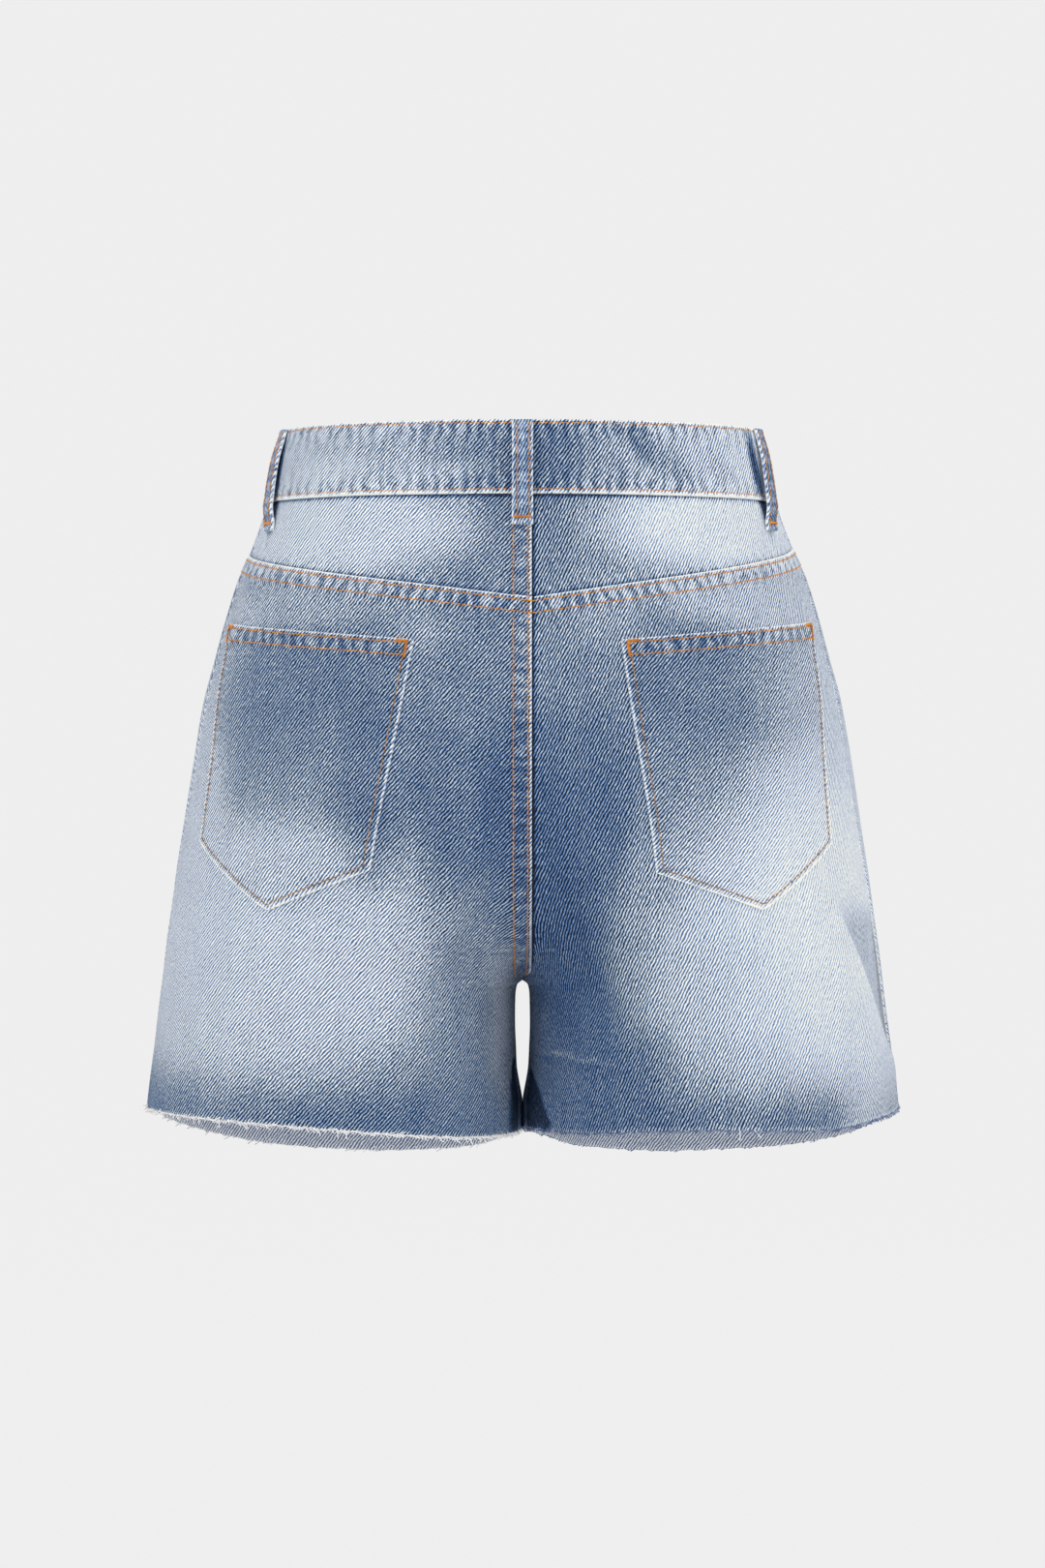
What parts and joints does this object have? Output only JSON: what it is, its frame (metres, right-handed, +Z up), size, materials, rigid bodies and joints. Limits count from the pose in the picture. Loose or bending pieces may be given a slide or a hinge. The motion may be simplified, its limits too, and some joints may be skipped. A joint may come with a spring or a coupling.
{
  "type": "denim shorts",
  "caption": "High-waisted denim shorts with raw frayed hems, back yokes, patch pockets and belt loops, hollow and standing as if worn.",
  "frame": {"origin": "centre of the waist opening, level with the waistband's top edge", "axes": "+Z up, the front faces -Y, +X is the wearer's left"},
  "size_m": [0.4122, 0.2332, 0.4068],
  "materials": {
    "denim_band_left": "light stone-washed twill, matte",
    "denim_band_right": "washed blue twill, matte",
    "denim_back": "stone-washed twill with pale worn zones, matte",
    "denim_front": "stone-washed twill with pale worn zones, matte",
    "denim_pocket": "washed blue twill, matte",
    "denim_loop": "washed twill with pale edges, matte",
    "fray": "raw white and blue cotton thread ends",
    "thread": "orange-brown topstitching thread",
    "button_metal": "aged copper-coloured metal"
  },
  "bodies": {
    "root": {"waistband_left": "denim_band_left", "waistband_right": "denim_band_right", "yoke_left": "denim_back", "yoke_right": "denim_back", "back_left": "denim_back", "back_right": "denim_back", "front_left": "denim_front", "front_right": "denim_front", "pocket_left": "denim_pocket", "pocket_right": "denim_pocket", "hem_fray_left": "fray", "hem_fray_right": "fray", "loop_back": "denim_loop", "loop_side_left": "denim_loop", "loop_side_right": "denim_loop", "loop_front_left": "denim_loop", "loop_front_right": "denim_loop", "fly": "denim_front", "fly_shield": "denim_front", "button": "button_metal"}
  },
  "joints": []
}
